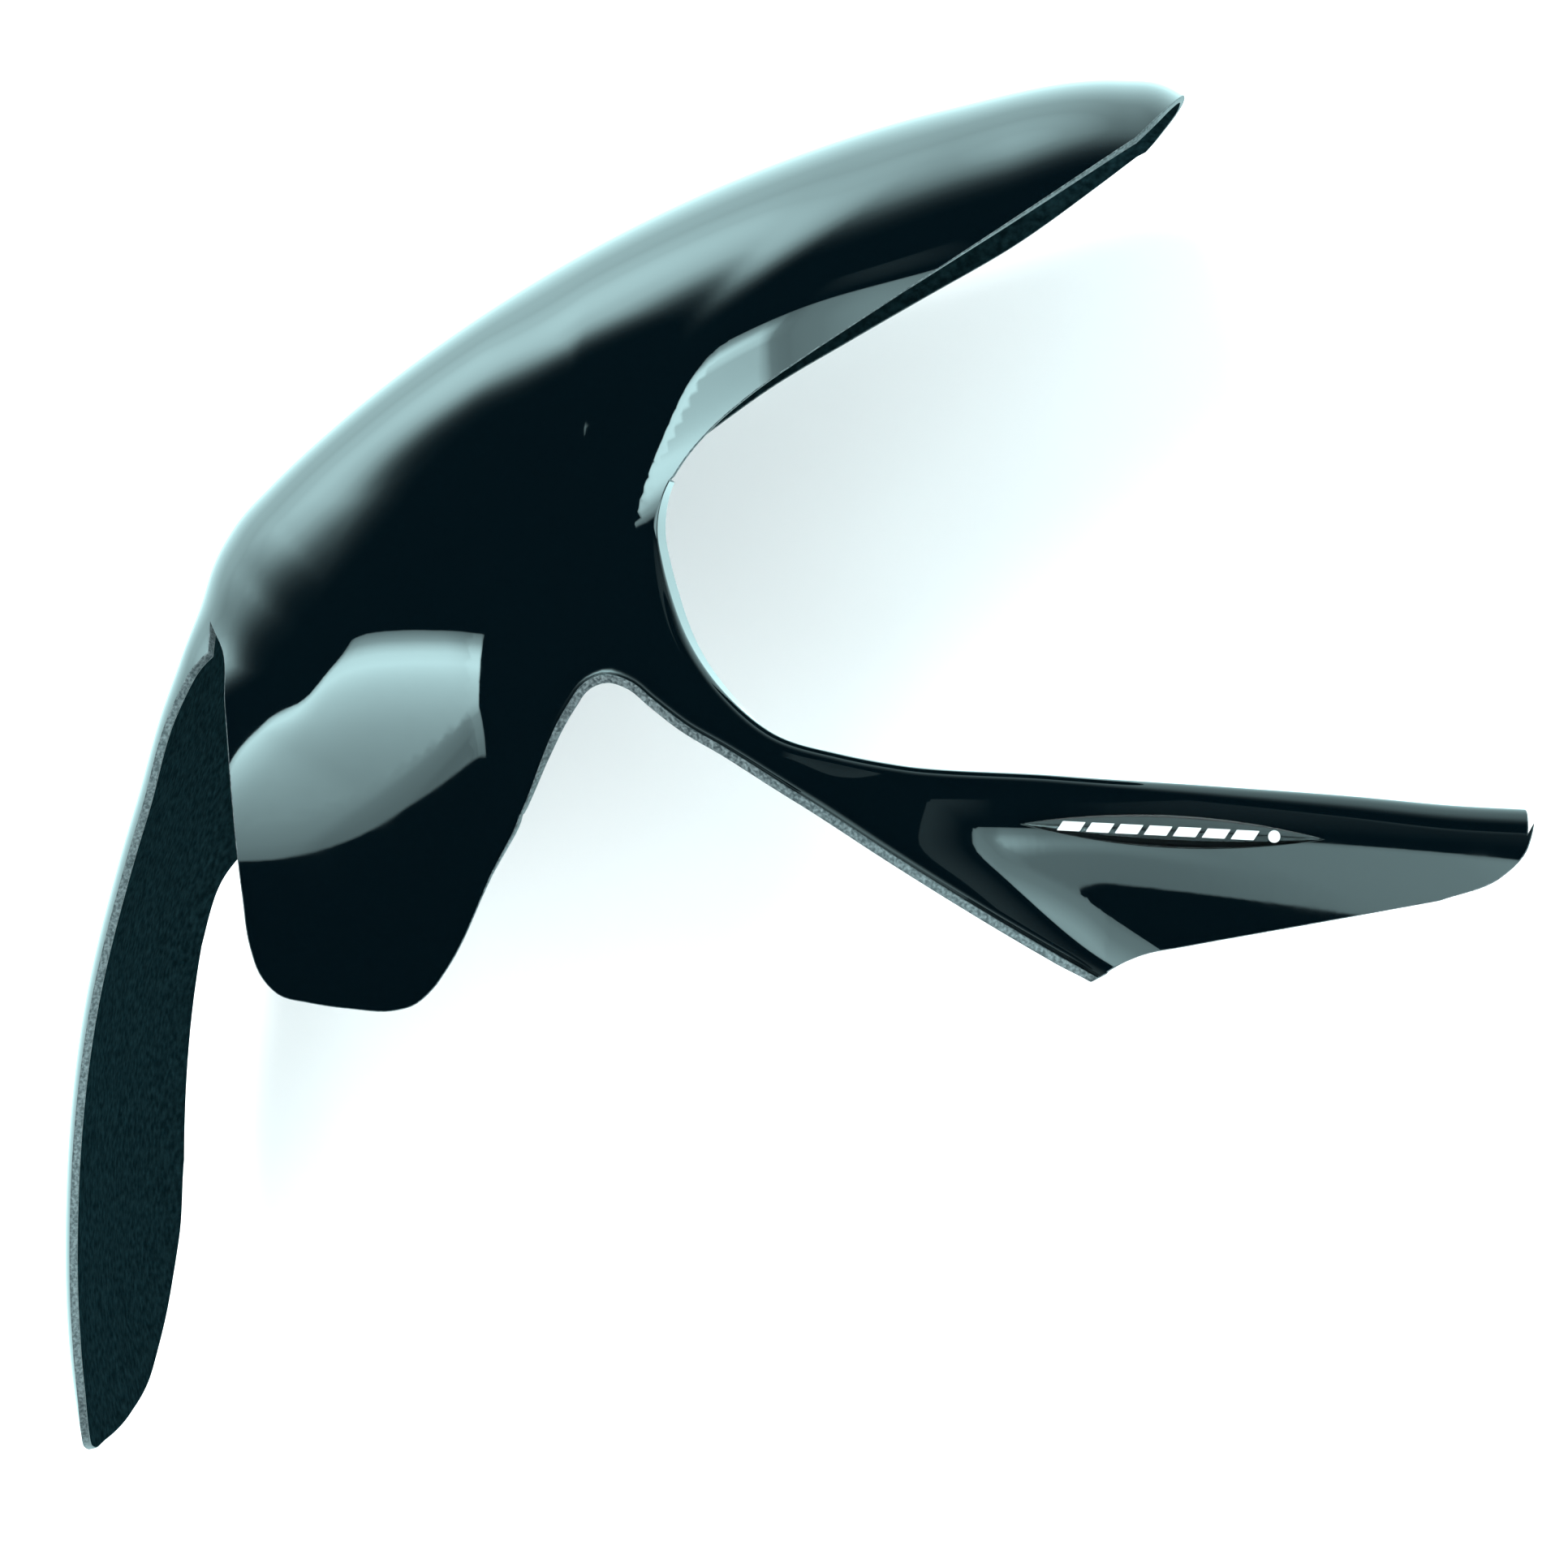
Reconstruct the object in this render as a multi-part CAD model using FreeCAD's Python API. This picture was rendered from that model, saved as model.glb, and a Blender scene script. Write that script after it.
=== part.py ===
"""Rear hugger of a motorcycle: wheel mudguard with a chain guard on its left side.

Millimetres. The origin is on the wheel's axis, midway between the tyre's sides.
+X points to the rear of the motorcycle, +Z up, and -Y to its left (chain) side.
"""
import FreeCAD, Part
import os
from math import atan2, cos, degrees, hypot, pi, radians, sin, sqrt

Vector = FreeCAD.Vector

# ---- driving dimensions (mm, degrees) ----
TYRE_RADIUS = 315.0          # 180/55-17 rear tyre
TYRE_WIDTH = 180.0
SIDE_GAP = 7.5               # tyre flank to the inside of the wall
SHEET = 2.5                  # wall of the moulding
HALF_WIDTH = TYRE_WIDTH / 2 + SIDE_GAP + SHEET
TOP_GAP = 33.0               # tyre tread to the inside of the crown, over the axle
CROWN = TYRE_RADIUS + TOP_GAP + SHEET

WALL_LEAN = 0.24             # slope of the left wall where it leans out or in

# The side is drawn in above the tab, from a foot line up, as far back as a slanted line.
WAIST = 9.5                  # at most this deep
WAIST_FOOT = 189.0           # height of the foot line
WAIST_FRONT_X = -248.0       # ahead of this the foot line drops away
WAIST_FRONT_DROP = 0.62
WAIST_REAR_X = -206.0        # and behind this too, as far as ...
WAIST_REAR_DROP = 30.0
WAIST_END_X = -216.0         # where the slanted line crosses WAIST_END_Z
WAIST_END_Z = 212.0
WAIST_END_SLANT = 0.395
WAIST_END_FOOT = 203.0       # below this the line turns towards the front
WAIST_FADE = 44.0            # width over which the drawn-in side comes out again
WAIST_EASE = 0.75            # and this share of it comes out towards the crown,
WAIST_EASE_FROM = 225.0      # above this height ...
WAIST_EASE_OVER = 55.0       # ... over this much

SHOULDER = 6.0               # the arch's rim stands out past the tab
SHOULDER_FRONT = -214.0      # it starts here, along X
SHOULDER_RISE = 32.0
SHOULDER_REAR = -130.0       # and fades out behind this
SHOULDER_FALL = 70.0

WEB_TOP = 276.0              # distance from the axle where the wall leans out to the guard
WEB_FRONT = -215.0           # the web starts here, along X
WEB_WIDTH = 50.0
GUARD_OFFSET = 24.0          # chain guard outboard of the arch's wall

TUCK_LEAN = 0.123            # the tab's foot turns in under it
TUCK_TOP = 130.5             # height where it starts to, at TUCK_X
TUCK_X = -285.0
TUCK_BOW = 150.0             # and how that line climbs towards the notch
TUCK_FRONT = -296.0          # the tongue, ahead of this, isn't tucked in
TUCK_FRONT_WIDTH = 9.0

GUARD_MIDDLE = 134.2         # the guard's face falls away above and below its middle
GUARD_BOW = 70.0             # radius of its upper part
GUARD_BOW_GROWTH = 0.62      # per mm along X, behind ...
GUARD_BOW_FROM = -30.0
GUARD_FOOT_LEAN = 0.125
CURL_WIDTH = 20.0            # its face curls out this close to its lower front edge
CURL_RADIUS = 38.0
CURL_END = 30.0              # and stops curling this far in, past the edge

TONGUE_HALF = 85.0           # half width of the front tongue
FLANGE_DEPTH = 16.0          # turned-in flange along the top of the guard
FLANGE_LIMIT = 95.0          # the flange stays this far out from the wheel's mid plane
LIP_HEIGHT = 4.0             # turned-out lip along the guard's lower front edge
EDGE_INSET = 0.3             # the flange and the lip stand this far inside the outline

BADGE_LENGTH = 86.0
BADGE_HEIGHT = 9.4
BADGE_X, BADGE_Z = -11.5, 132.8
BADGE_TILT = 2.6             # nose down towards the rear
PAD_THICKNESS = 0.6
PLATE_THICKNESS = 0.9
PRINT_THICKNESS = 0.15
DOME_HEIGHT = 1.8
DOME_REACH = 0.97            # the dome stops just short of the plate's tips
DOME_SECTIONS = 12
BAR_COUNT = 7
BAR_PITCH = 8.2
BAR_LENGTH = 6.4
BAR_HEIGHT = 2.6
BAR_SLANT = 0.8
DOT_RADIUS = 1.7

SEAT_X, SEAT_Z = -250.0, 150.0           # swingarm seat inside the left tab
SEAT_RADIUS = 12.0
SEAT_PLANE = -96.3

# Crown line: angle about the axle from straight back, and distance from the axle.
CROWN_LINE = [
    (50, CROWN - 12), (86, CROWN - 20), (90.5, CROWN - 9), (92.5, CROWN - 2), (94.5, CROWN),
    (103, CROWN), (113, CROWN + 0.5), (122, CROWN + 3), (130, CROWN + 7), (137, CROWN + 12),
    (141.5, CROWN + 15.5), (144, CROWN + 17), (146, CROWN + 15.5), (148, CROWN + 11),
    (150.5, CROWN + 5.9), (153, CROWN + 2.5), (156, CROWN - 0.6), (160, CROWN - 2.7),
    (167, CROWN - 4.2), (178, CROWN - 5.4), (186, CROWN - 4.6), (194, CROWN - 4.4),
]

# Depth of a section's rounded part, and the exponent of its superellipse, by angle.
SECTION_DEPTH = [
    (50, 50), (88, 50), (97, 56), (105, 54), (113, 51), (117, 52), (121, 54), (128, 55),
    (131, 57), (136, 59), (140, 58), (142, 58), (145, 60), (148, 56), (150, 50), (152, 46),
    (157, 45), (194, 45),
]
SQUARENESS = [
    (50, 3), (88, 3), (95, 2.9), (101, 2.5), (107, 2.25), (113, 2.2), (125, 2.25), (131, 2.3),
    (142, 2.35), (145, 2.4), (148, 2.8), (150, 3.6), (152, 4), (157, 4), (194, 4),
]

# Outline of the guard's lower front corner, used by its face as well as by its edge.
GUARD_TIP = (-35.5, 90.5)


def smooth_step(t):
    t = min(1.0, max(0.0, t))
    return t * t * (3 - 2 * t)


def smooth_line(points):
    """A smooth curve through (x, value) points, as a function of x."""
    xs = [p[0] for p in points]
    ys = [p[1] for p in points]
    steps = [(ys[i + 1] - ys[i]) / (xs[i + 1] - xs[i]) for i in range(len(xs) - 1)]
    slopes = [steps[0]]
    for i in range(1, len(steps)):
        left, right = xs[i] - xs[i - 1], xs[i + 1] - xs[i]
        slopes.append((steps[i - 1] * right + steps[i] * left) / (left + right))
    slopes.append(steps[-1])

    def value(x):
        i = max(0, min(len(xs) - 2, sum(1 for k in xs[1:] if k <= x)))
        width = xs[i + 1] - xs[i]
        t = (x - xs[i]) / width
        a = (2 * t ** 3 - 3 * t * t + 1) * ys[i] + (t ** 3 - 2 * t * t + t) * width * slopes[i]
        b = (3 * t * t - 2 * t ** 3) * ys[i + 1] + (t ** 3 - t * t) * width * slopes[i + 1]
        return a + b

    return value


crown_radius = smooth_line(CROWN_LINE)


section_depth = smooth_line(SECTION_DEPTH)
squareness = smooth_line(SQUARENESS)


def ramp(x, rounding):
    """x where it is positive and nothing elsewhere, with a rounded corner."""
    return (x + hypot(x, rounding)) / 2


def soft_limit(x, most, power):
    return x / (1 + (x / most) ** power) ** (1 / power)


def waist(angle, radius, x, z):
    """How far the side is drawn in under the crown, above the tab."""
    foot = WAIST_FOOT - WAIST_FRONT_DROP * ramp(WAIST_FRONT_X - x, 10)
    foot -= min(WAIST_REAR_DROP, ramp(x - WAIST_REAR_X, 8))
    past_end = x - WAIST_END_X - WAIST_END_SLANT * (z - WAIST_END_Z) - ramp(WAIST_END_FOOT - z, 12)
    fade = WAIST_FADE + 1.5 * ramp(radius - crown_radius(angle) + 46, 12)
    depth = WALL_LEAN * ramp(z + 2 - foot, 10)
    depth *= (1 - smooth_step(past_end / fade)) * smooth_step((157 - angle) / 7)
    eased = 1 - WAIST_EASE * smooth_step((z - WAIST_EASE_FROM) / WAIST_EASE_OVER)
    return soft_limit(depth, WAIST, 6) * eased


def tab_tuck(angle, x, z):
    """The tab's foot, below a curved line that climbs towards the notch."""
    below = max(0.0, TUCK_TOP + (x - TUCK_X) ** 2 / TUCK_BOW - z)
    on_tab = smooth_step((angle - 134) / 5) * smooth_step((x - TUCK_FRONT) / TUCK_FRONT_WIDTH)
    return on_tab * TUCK_LEAN * (hypot(below, 15) - 15)


def guard_barrel(radius, x, z):
    """The guard's face falls away above and below its middle."""
    bow = GUARD_BOW + GUARD_BOW_GROWTH * max(GUARD_BOW_FROM, x)
    middle = GUARD_MIDDLE - 0.035 * x - 0.173 * bow
    inboard = smooth_step((210 - radius) / 40)
    top = smooth_step((x + 125) / 45) * ramp(z - middle, 5) ** 2 / (2 * bow)
    below = max(0.0, middle + 4 - z)
    foot = smooth_step((x + 75) / 45) * GUARD_FOOT_LEAN * (hypot(below, 12) - 12)
    return inboard * (top + foot)


def guard_curl(x, z):
    """The guard's face curls out towards its lower front edge."""
    edge_gap = (x - GUARD_TIP[0]) * 0.52 + (z - GUARD_TIP[1]) * 0.854
    into = min(CURL_END, max(0.0, CURL_WIDTH - edge_gap))
    return into ** 2 / (2 * CURL_RADIUS) * smooth_step((x + 150) / 40) * smooth_step((20 - x) / 30)


def stand_out(angle, radius):
    """How far the left wall stands out past the half width."""
    x, z = radius * cos(radians(angle)), radius * sin(radians(angle))
    shoulder = SHOULDER * smooth_step((x - SHOULDER_FRONT) / SHOULDER_RISE)
    shoulder *= 1 - smooth_step((x - SHOULDER_REAR) / SHOULDER_FALL)
    lean = WALL_LEAN * ramp(WEB_TOP - radius, 8) * smooth_step((x - WEB_FRONT) / WEB_WIDTH)
    out = shoulder + soft_limit(lean, GUARD_OFFSET, 4) + guard_curl(x, z)
    return out - waist(angle, radius, x, z) - tab_tuck(angle, x, z) - guard_barrel(radius, x, z)


def polar(angle, radius, y=0.0):
    return Vector(radius * cos(radians(angle)), y, radius * sin(radians(angle)))


def skin_point(angle, side):
    """Outer skin. side runs -1..1 over the rounded section, and on down the walls in mm / 100."""
    power = squareness(angle)
    turn = max(-1.0, min(1.0, side)) * pi / 2
    reach = (abs(sin(turn)) ** power + abs(cos(turn)) ** power) ** (-1 / power)
    wall = max(0.0, abs(side) - 1) * 100
    radius = crown_radius(angle) - section_depth(angle) * (1 - reach * cos(turn)) - wall
    width = reach * sin(turn)
    half = HALF_WIDTH + stand_out(angle, radius) if side < 0 else HALF_WIDTH
    return polar(angle, radius, half * width)


def wall_y(x, z):
    """The left wall's outer skin, seen at x, z."""
    return -HALF_WIDTH - stand_out(degrees(atan2(z, x)), hypot(x, z))


def skin_normal(angle, side):
    e = 1e-3
    along = skin_point(angle + e, side) - skin_point(angle - e, side)
    across = skin_point(angle, side + e) - skin_point(angle, side - e)
    return along.cross(across).normalize()


def skin_surface(angles, sides, inset):
    grid = [[skin_point(a, s) + skin_normal(a, s) * inset for s in sides] for a in angles]
    surface = Part.BSplineSurface()
    surface.interpolate(grid)
    return surface


def border_curves(surface):
    u_first, u_last, v_first, v_last = surface.bounds()
    return [surface.uIso(u_first), surface.uIso(u_last), surface.vIso(v_first), surface.vIso(v_last)]


def sheet_blank():
    """The untrimmed sheet: one skin and its inside, closed along their borders."""
    angles = [50 + 2 * i for i in range(17)] + [84 + 1.5 * i for i in range(74)]
    near = [-3.0 + 0.05 * i for i in range(40)]
    middle = [-1 + 0.1 * i for i in range(21)]
    far = [1.08 + 0.08 * i for i in range(5)]
    sides = near + middle + far
    outer = skin_surface(angles, sides, 0.0)
    inner = skin_surface(angles, sides, SHEET)
    rims = [
        Part.makeRuledSurface(a.toShape(), b.toShape(), 1)
        for a, b in zip(border_curves(outer), border_curves(inner))
    ]
    faces = [outer.toShape(), inner.toShape()] + rims
    shell = Part.makeShell(faces)
    shell.sewShape()
    solid = Part.makeSolid(shell)
    if solid.Volume < 0:
        solid.reverse()
    return solid


# ---- outlines in the side view, as (x, z) ----
RIM_LEFT = [(2, 354), (-23, 329), (-46, 314)]
RIM_TO_GUARD = [
    (-115, 268.5), (-133, 256), (-144, 246.5), (-152.5, 236.5), (-157.5, 227.5), (-159.3, 217),
    (-158.1, 209), (-156.1, 201), (-151, 187), (-142.8, 173.5), (-127.7, 160), (-107, 153),
    (-95.5, 150.5), (-44, 148.2), (1, 146.2), (40, 144), (70, 141.2), (86, 140),
]
GUARD_REAR = [(86, 140), (90.8, 135.5), (88, 127.5), (81, 120.5), (64, 114)]
GUARD_HEEL = [(-8, 100), (-20, 97.5), (-27, 94.5), GUARD_TIP]
NOTCH = [
    (-139, 153.5), (-151.5, 160.5), (-161, 167.5), (-166.5, 171.8), (-172.5, 173.5),
    (-178, 171.5), (-182.5, 166), (-191.5, 151.5),
]
TAB_REAR = [(-209, 117), (-223, 88), (-227.3, 82), (-233, 77.2), (-239, 75.6)]
TAB_FRONT = [
    (-263.5, 78), (-272, 80.2), (-277.3, 86), (-280, 94), (-282, 110), (-284.5, 138),
    (-287, 165), (-290, 181), (-296.5, 188.5),
]
RIM_RIGHT = [
    (-17, 339), (-35, 322.5), (-61, 303), (-88, 287), (-114, 272), (-141, 256), (-160, 242.5),
    (-200, 211), (-240, 178), (-275, 148), (-300, 125),
]
# ---- outline of the tongue in the front view, as (y, z) ----
TONGUE_FOOT = [
    (TONGUE_HALF, 0), (81, -25), (68, -45), (40, -61), (0, -67), (-40, -66.5), (-62, -64),
    (-76, -58), (-83, -46), (-TONGUE_HALF, -28),
]
TONGUE_TO_RIM = [(112, 122), (97, 108), (88, 93), (TONGUE_HALF, 72)]


def on_side(x, z):
    return Vector(x, 0, z)


def curve(points):
    """One smooth edge through points."""
    line = Part.BSplineCurve()
    line.interpolate(points)
    return line.toShape()


def smooth_edge(outline):
    return curve([on_side(x, z) for x, z in outline])


def line(start, end):
    return Part.makeLine(start, end)


def tongue_back():
    """A line just inside the tongue, from its foot up to the slot."""
    angles = range(194, 148, -5)
    return [polar(a, crown_radius(a) - 14) for a in angles]


def side_prism(edges, y_from, y_to):
    """A prism across the wheel from a closed chain of side-view edges."""
    wire = Part.Wire(Part.__sortEdges__(edges))
    face = Part.Face(wire)
    face.translate(Vector(0, y_from, 0))
    return face.extrude(Vector(0, y_to - y_from, 0))


def outer_frame(start, end):
    """Straight edges round the outside of the arch, from start (foot) to end (tail)."""
    corners = [start, Vector(-430, 0, start.z), Vector(-430, 0, 430), Vector(end.x, 0, 430), end]
    return [line(a, b) for a, b in zip(corners, corners[1:])]


def left_outline():
    """Everything to the left of the mid plane: arch, chain guard, tab and tongue."""
    slanted_rim = [line(on_side(*a), on_side(*b)) for a, b in zip(RIM_LEFT, RIM_LEFT[1:])]
    back = tongue_back()
    chain = slanted_rim + [
        line(on_side(*RIM_LEFT[-1]), on_side(*RIM_TO_GUARD[0])),
        smooth_edge(RIM_TO_GUARD),
        smooth_edge(GUARD_REAR),
        line(on_side(*GUARD_REAR[-1]), on_side(*GUARD_HEEL[0])),
        smooth_edge(GUARD_HEEL),
        line(on_side(*GUARD_HEEL[-1]), on_side(*NOTCH[0])),
        smooth_edge(NOTCH),
        line(on_side(*NOTCH[-1]), on_side(*TAB_REAR[0])),
        smooth_edge(TAB_REAR),
        line(on_side(*TAB_REAR[-1]), on_side(*TAB_FRONT[0])),
        smooth_edge(TAB_FRONT),
        line(on_side(*TAB_FRONT[-1]), back[-1]),
        curve(back[::-1]),
    ]
    return chain + outer_frame(back[0], on_side(*RIM_LEFT[0]))


def right_outline():
    """Everything to the right of the mid plane: one rim from the tail to the tongue."""
    back = [p for p in tongue_back() if p.z < 100]
    start = on_side(*RIM_LEFT[0])
    chain = [
        line(start, on_side(*RIM_RIGHT[0])),
        smooth_edge(RIM_RIGHT),
        line(on_side(*RIM_RIGHT[-1]), back[-1]),
        curve(back[::-1]),
    ]
    return chain + outer_frame(back[0], start)


def tongue_waste():
    """What is cut away round the tongue's foot and its right edge, as a prism along X."""
    def front(y, z):
        return Vector(-430, y, z)

    edges = [
        curve([front(y, z) for y, z in TONGUE_TO_RIM]),
        line(front(*TONGUE_TO_RIM[-1]), front(*TONGUE_FOOT[0])),
        curve([front(y, z) for y, z in TONGUE_FOOT]),
    ]
    corners = [(-TONGUE_HALF, -28), (-150, -28), (-150, -150), (150, -150), (150, 122), (112, 122)]
    edges += [line(front(*a), front(*b)) for a, b in zip(corners, corners[1:])]
    face = Part.Face(Part.Wire(Part.__sortEdges__(edges)))
    return face.extrude(Vector(430 - 262, 0, 0))


def slot_waste():
    """What is cut away outboard of the tongue's left edge, below the slot's head."""
    corners = [(-296.5, 188.5), (-292, 184), (-292, -150), (-430, -150), (-430, 188.5)]
    edges = [line(on_side(*a), on_side(*b)) for a, b in zip(corners, corners[1:] + corners[:1])]
    return side_prism(edges, -200, -TONGUE_HALF)


def edge_band(stations, depth_of, inset):
    """A strip one sheet thick that stands on the skin along an edge, turned across the wheel."""
    sections = []
    for i, (x, z) in enumerate(stations):
        before, after = stations[max(0, i - 1)], stations[min(len(stations) - 1, i + 1)]
        along = Vector(after[0] - before[0], 0, after[1] - before[1]).normalize()
        inward = Vector(0, 1, 0).cross(along)
        base = on_side(x, z) + inward * inset
        skin_y = wall_y(x, z)
        start, end = skin_y + SHEET / 2, skin_y + depth_of(-skin_y)
        corners = [base + Vector(0, start, 0), base + Vector(0, end, 0)]
        corners += [corners[1] + inward * SHEET, corners[0] + inward * SHEET]
        sections.append(Part.makePolygon(corners + corners[:1]))
    return Part.makeLoft(sections, True, False)


def between(start, end, count):
    """Evenly spaced side-view points on a straight line, without its end."""
    return [
        (start[0] + (end[0] - start[0]) * i / count, start[1] + (end[1] - start[1]) * i / count)
        for i in range(count)
    ]


def guard_flange():
    def depth_of(skin_distance):
        return min(FLANGE_DEPTH, skin_distance - FLANGE_LIMIT)

    return edge_band(RIM_TO_GUARD[5:], depth_of, EDGE_INSET)


def guard_lip():
    stations = between(GUARD_TIP, NOTCH[0], 8) + NOTCH[:-1]
    return edge_band(stations, lambda skin_distance: -LIP_HEIGHT, EDGE_INSET)


def swingarm_seat():
    """A flat round land inside the left tab, where the swingarm's fixing bears."""
    root_y = wall_y(SEAT_X, SEAT_Z) + SHEET / 2
    base = Vector(SEAT_X, root_y, SEAT_Z)
    return Part.makeCylinder(SEAT_RADIUS, SEAT_PLANE - root_y, base, Vector(0, 1, 0))


def hugger_moulding():
    blank = sheet_blank()
    left = blank.common(side_prism(left_outline(), -200, 0))
    left = left.cut(slot_waste())
    right = blank.common(side_prism(right_outline(), 0, 200))
    sheet = left.fuse(right)
    sheet = sheet.cut(tongue_waste())
    body = sheet.fuse([guard_flange(), guard_lip(), swingarm_seat()])
    body = body.cut(badge_pocket())
    return body.removeSplitter()


# ---- badge: built flat on the XZ plane about its own centre, outward is -Y ----
POCKET_DEPTH = 0.35          # the pad sits in a shallow pocket, for the guard's face is bowed


def lens_face(length, height):
    tip = length / 2
    rise = height / 2
    top = Part.Arc(Vector(-tip, 0, 0), Vector(0, 0, rise), Vector(tip, 0, 0)).toShape()
    bottom = Part.Arc(Vector(tip, 0, 0), Vector(0, 0, -rise), Vector(-tip, 0, 0)).toShape()
    return Part.Face(Part.Wire([top, bottom]))


def guard_placement():
    """From the badge's own plane to the guard's face, which it lies on."""
    step = 1.0
    rise = (wall_y(BADGE_X, BADGE_Z + step) - wall_y(BADGE_X, BADGE_Z - step)) / (2 * step)
    run = (wall_y(BADGE_X + step, BADGE_Z) - wall_y(BADGE_X - step, BADGE_Z)) / (2 * step)
    spin = FreeCAD.Rotation(Vector(0, 1, 0), BADGE_TILT)
    lean = FreeCAD.Rotation(Vector(1, 0, 0), -degrees(atan2(rise, 1)))
    swing = FreeCAD.Rotation(Vector(0, 0, 1), degrees(atan2(run, 1)))
    centre = Vector(BADGE_X, wall_y(BADGE_X, BADGE_Z), BADGE_Z)
    return FreeCAD.Placement(centre, swing.multiply(lean).multiply(spin))


def placed(shape, back):
    """Move a badge piece on to the guard, its back this far outboard of the pocket's floor."""
    shape.translate(Vector(0, POCKET_DEPTH - back, 0))
    return shape.transformed(guard_placement().toMatrix())


def lens_plate(margin, thickness, back):
    face = lens_face(BADGE_LENGTH + 6 * margin, BADGE_HEIGHT + 2 * margin)
    return placed(face.extrude(Vector(0, -thickness, 0)), back)


def badge_pocket():
    return lens_plate(0.0, 5.0, 0.0)


def badge_bar(number):
    centre = (number - (BAR_COUNT + 1) / 2) * BAR_PITCH - 4.0
    half, rise = BAR_LENGTH / 2, BAR_HEIGHT / 2
    corners = [
        Vector(centre - half - BAR_SLANT, 0, -rise),
        Vector(centre + half - BAR_SLANT, 0, -rise),
        Vector(centre + half + BAR_SLANT, 0, rise),
        Vector(centre - half + BAR_SLANT, 0, rise),
    ]
    face = Part.Face(Part.makePolygon(corners + corners[:1]))
    return placed(face.extrude(Vector(0, -PRINT_THICKNESS, 0)), PAD_THICKNESS + PLATE_THICKNESS)


def badge_dot():
    centre = Vector((BAR_COUNT + 1) / 2 * BAR_PITCH - 4.0, 0, 0)
    disc = Part.makeCylinder(DOT_RADIUS, PRINT_THICKNESS, centre, Vector(0, -1, 0))
    return placed(disc, PAD_THICKNESS + PLATE_THICKNESS)


def badge_dome(prints):
    """A clear lens-shaped dome: flattened round sections lofted from tip to tip, cut in half."""
    half_length = BADGE_LENGTH / 2
    rise = BADGE_HEIGHT / 2
    arc_radius = (half_length ** 2 + rise ** 2) / (2 * rise)
    sections = []
    for i in range(DOME_SECTIONS + 1):
        x = half_length * DOME_REACH * (2 * i / DOME_SECTIONS - 1)
        half = sqrt(arc_radius ** 2 - x * x) - (arc_radius - rise)
        ellipse = Part.Ellipse(
            Vector(x, 0, half), Vector(x, -DOME_HEIGHT * half / rise, 0), Vector(x, 0, 0)
        )
        sections.append(Part.Wire(ellipse.toShape()))
    spindle = Part.makeLoft(sections, True, False)
    front = Part.makeBox(2 * half_length, 10, 20, Vector(-half_length, -10, -10))
    dome = placed(spindle.common(front), PAD_THICKNESS + PLATE_THICKNESS)
    for piece in prints:
        dome = dome.cut(piece)
    return dome


def build():
    bars = {f"badge_bar_{n}": badge_bar(n) for n in range(1, BAR_COUNT + 1)}
    dot = badge_dot()
    nodes = {
        "hugger_moulding": hugger_moulding(),
        "badge_pad": lens_plate(0.0, PAD_THICKNESS, 0.0),
        "badge_plate": lens_plate(0.0, PLATE_THICKNESS, PAD_THICKNESS),
        "badge_dot": dot,
        "badge_dome": badge_dome(list(bars.values()) + [dot]),
    }
    nodes.update(bars)
    return nodes


def main():
    os.makedirs("parts", exist_ok=True)
    for name, shape in build().items():
        box = shape.BoundBox
        solids = shape.Solids
        print(name, "valid" if shape.isValid() else "NOT VALID", len(solids), "solid",
              f"volume {shape.Volume:.1f}",
              f"x {box.XMin:.1f}..{box.XMax:.1f} y {box.YMin:.1f}..{box.YMax:.1f}",
              f"z {box.ZMin:.1f}..{box.ZMax:.1f}")
        (solids[0] if len(solids) == 1 else shape).exportStep(f"parts/{name}.step")


main()
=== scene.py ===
from math import asin, atan2, ceil, cos, degrees, hypot, pi, radians, sin, sqrt

import bpy
import numpy as np
from mathutils import Matrix, Vector, geometry, kdtree


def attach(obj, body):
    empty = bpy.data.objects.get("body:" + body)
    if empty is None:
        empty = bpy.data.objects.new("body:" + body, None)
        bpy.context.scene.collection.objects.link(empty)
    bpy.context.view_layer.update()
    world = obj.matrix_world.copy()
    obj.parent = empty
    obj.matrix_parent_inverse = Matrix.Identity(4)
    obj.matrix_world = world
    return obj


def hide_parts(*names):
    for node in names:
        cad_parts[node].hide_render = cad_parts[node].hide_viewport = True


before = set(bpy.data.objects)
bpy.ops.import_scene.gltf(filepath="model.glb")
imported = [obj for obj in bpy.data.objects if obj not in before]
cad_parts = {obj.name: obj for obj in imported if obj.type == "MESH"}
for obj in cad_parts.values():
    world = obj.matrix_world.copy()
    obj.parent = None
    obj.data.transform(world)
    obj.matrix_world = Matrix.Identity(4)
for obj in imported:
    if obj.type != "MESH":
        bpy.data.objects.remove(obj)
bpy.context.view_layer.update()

# ---------------------------------------------------------------- shape of the moulding
# Millimetres about the wheel's axis, as in the part; meshes are scaled to metres.
MM = 0.001
SHEET = 2.5
TYRE_RADIUS = 315.0
TYRE_WIDTH = 180.0
TOP_GAP = 33.0
SIDE_GAP = 7.5
CROWN = TYRE_RADIUS + TOP_GAP + SHEET
HALF_WIDTH = TYRE_WIDTH / 2 + SIDE_GAP + SHEET
SIDE_MM = 100.0              # one unit of side is this long down a wall
WALL_LEAN = 0.24             # slope of the left wall where it leans out or in

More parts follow.
